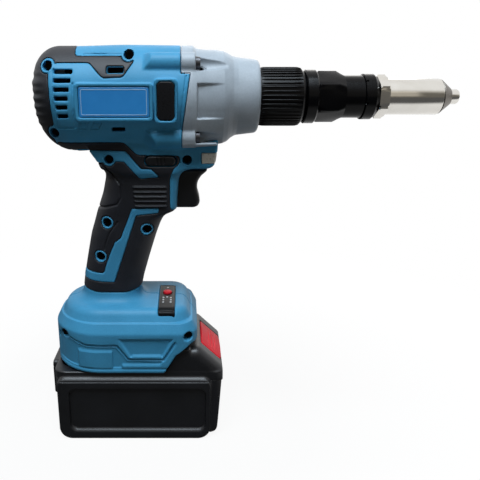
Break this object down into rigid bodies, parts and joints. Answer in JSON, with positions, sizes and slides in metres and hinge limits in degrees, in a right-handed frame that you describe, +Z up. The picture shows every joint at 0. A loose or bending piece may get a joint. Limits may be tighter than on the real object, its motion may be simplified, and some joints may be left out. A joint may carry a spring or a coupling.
{
  "type": "battery rivet tool",
  "caption": "Pistol-shaped battery rivet tool: motor barrel, planetary gear and ball screw pull a jaw head back through a long nose; handle with trigger, slide-on battery as the foot.",
  "frame": {"origin": "on the base face of the battery, below the handle, on the middle plane of the tool", "axes": "+X to the nose along the rivet axis, +Y to the left side of the tool, +Z up"},
  "size_m": [0.279, 0.075, 0.273],
  "materials": {
    "blue_plastic": "fine moulded grain",
    "soft_black": "matte overmould",
    "label_film": "smooth film",
    "badge_black": "smooth",
    "zinc_screw": "zinc plated",
    "grey_cast": "fine cast grain, satin paint",
    "clear_plastic": "clear moulding",
    "board_green": "solder mask",
    "black_plastic": "fine moulded grain",
    "spring_steel": "drawn wire",
    "red_plastic": "smooth",
    "brass": "bright",
    "wire_red": "insulation",
    "core_steel": "laminated",
    "copper": "enamelled wire",
    "hard_steel": "ground",
    "alloy": "turned",
    "black_oxide": "black oxide",
    "bright_steel": "turned and plated",
    "cell_wrap": "shrink film",
    "nickel": "plated strip"
  },
  "bodies": {
    "tool": {"housing_right": "blue_plastic", "housing_left": "blue_plastic", "housing_screws": "zinc_screw", "rear_trim_right": "soft_black", "rear_trim_left": "soft_black", "grip_right": "soft_black", "grip_left": "soft_black", "side_label_right": "label_film", "side_label_left": "label_film", "side_badge_right": "badge_black", "side_badge_left": "badge_black", "gearbox_case": "grey_cast", "gearbox_screws": "zinc_screw", "work_light_lens": "clear_plastic", "circuit_boards": "board_green", "trigger_switch": "black_plastic", "control_panel": "badge_black", "terminal_block": "black_plastic", "terminal_blades": "brass", "wire_harness": "wire_red", "stator_core": "core_steel", "stator_windings": "copper", "motor_bearings": "hard_steel", "motor_bracket": "alloy", "ring_gear": "hard_steel", "nut_bearing": "hard_steel", "thrust_bearing": "hard_steel", "ribbed_sleeve": "black_oxide", "hex_adapter": "black_oxide", "lock_nut": "black_oxide", "nose_barrel": "bright_steel", "nosepiece": "bright_steel"},
    "trigger": {"trigger": "black_plastic", "trigger_spring": "spring_steel"},
    "selector": {"direction_selector": "black_plastic"},
    "panel_button": {"panel_button": "red_plastic"},
    "battery": {"battery_case_lower": "black_plastic", "battery_case_upper": "black_plastic", "battery_cells": "cell_wrap", "cell_holders": "black_plastic", "battery_contacts": "nickel", "battery_board": "board_green", "battery_screws": "zinc_screw"},
    "release_button": {"release_button": "red_plastic", "latch_spring": "spring_steel"},
    "rotor": {"rotor_core": "core_steel", "rotor_shaft": "hard_steel", "cooling_fan": "black_plastic"},
    "nut": {"planet_carrier": "hard_steel", "ball_nut": "hard_steel"},
    "planet_1": {"planet_gear_1": "hard_steel"},
    "planet_2": {"planet_gear_2": "hard_steel"},
    "planet_3": {"planet_gear_3": "hard_steel"},
    "pull": {"ball_screw": "hard_steel", "jaw_case": "hard_steel"},
    "pusher": {"jaw_pusher": "hard_steel", "jaw_spring": "spring_steel"},
    "jaw_1": {"jaw_1": "hard_steel"},
    "jaw_2": {"jaw_2": "hard_steel"},
    "jaw_3": {"jaw_3": "hard_steel"}
  },
  "joints": [
    {"name": "trigger_pull", "type": "slide", "parent": "tool", "child": "trigger", "axis": [-1, 0, 0], "range_m": [0, 0.0065], "stiffness_N_per_m": 500, "springref_m": -0.006, "deforming": ["trigger_spring"]},
    {"name": "selector_slide", "type": "slide", "parent": "tool", "child": "selector", "axis": [0, 1, 0], "range_m": [-0.0025, 0.0025]},
    {"name": "panel_press", "type": "slide", "parent": "tool", "child": "panel_button", "axis": [0, 0, -1], "range_m": [0, 0.0008], "stiffness_N_per_m": 900, "springref_m": -0.0008},
    {"name": "battery_slide", "type": "slide", "parent": "tool", "child": "battery", "axis": [1, 0, 0], "range_m": [0, 0.098]},
    {"name": "release_press", "type": "slide", "parent": "battery", "child": "release_button", "axis": [-0.6854, 0, -0.7282], "range_m": [0, 0.003], "stiffness_N_per_m": 900, "springref_m": -0.003, "deforming": ["latch_spring"]},
    {"name": "rotor_spin", "type": "hinge", "parent": "tool", "child": "rotor", "pos_m": [0, 0, 0.24], "axis": [1, 0, 0], "range_deg": [0, 6480]},
    {"name": "nut_spin", "type": "hinge", "parent": "tool", "child": "nut", "pos_m": [0.04, 0, 0.24], "axis": [1, 0, 0], "range_deg": [0, 1440]},
    {"name": "planet_1_spin", "type": "hinge", "parent": "nut", "child": "planet_1", "pos_m": [0.021, 0.0135, 0.24], "axis": [1, 0, 0], "range_deg": [-4032.01, 0]},
    {"name": "planet_2_spin", "type": "hinge", "parent": "nut", "child": "planet_2", "pos_m": [0.021, -0.00675, 0.25169], "axis": [1, 0, 0], "range_deg": [-4032.01, 0]},
    {"name": "planet_3_spin", "type": "hinge", "parent": "nut", "child": "planet_3", "pos_m": [0.021, -0.00675, 0.22831], "axis": [1, 0, 0], "range_deg": [-4032.01, 0]},
    {"name": "pull_stroke", "type": "slide", "parent": "tool", "child": "pull", "axis": [-1, 0, 0], "range_m": [0, 0.02]},
    {"name": "pusher_feed", "type": "slide", "parent": "pull", "child": "pusher", "axis": [1, 0, 0], "range_m": [0, 0.0025], "deforming": ["jaw_spring"]},
    {"name": "jaw_1_feed", "type": "slide", "parent": "pull", "child": "jaw_1", "axis": [0.9925, -0.1219, 0], "range_m": [0, 0.00252]},
    {"name": "jaw_2_feed", "type": "slide", "parent": "pull", "child": "jaw_2", "axis": [0.9925, 0.0609, -0.1055], "range_m": [0, 0.00252]},
    {"name": "jaw_3_feed", "type": "slide", "parent": "pull", "child": "jaw_3", "axis": [0.9925, 0.0609, 0.1055], "range_m": [0, 0.00252]}
  ],
  "couplings": [
    {"joint": "rotor_spin", "follows": "pull_stroke", "rad_per_m": 5654.9},
    {"joint": "nut_spin", "follows": "pull_stroke", "rad_per_m": 1256.6},
    {"joint": "planet_1_spin", "follows": "pull_stroke", "rad_per_m": -3518.6},
    {"joint": "planet_2_spin", "follows": "pull_stroke", "rad_per_m": -3518.6},
    {"joint": "planet_3_spin", "follows": "pull_stroke", "rad_per_m": -3518.6},
    {"joint": "pusher_feed", "follows": "pull_stroke", "ratio": 0.125},
    {"joint": "jaw_1_feed", "follows": "pull_stroke", "ratio": 0.12594},
    {"joint": "jaw_2_feed", "follows": "pull_stroke", "ratio": 0.12594},
    {"joint": "jaw_3_feed", "follows": "pull_stroke", "ratio": 0.12594}
  ]
}
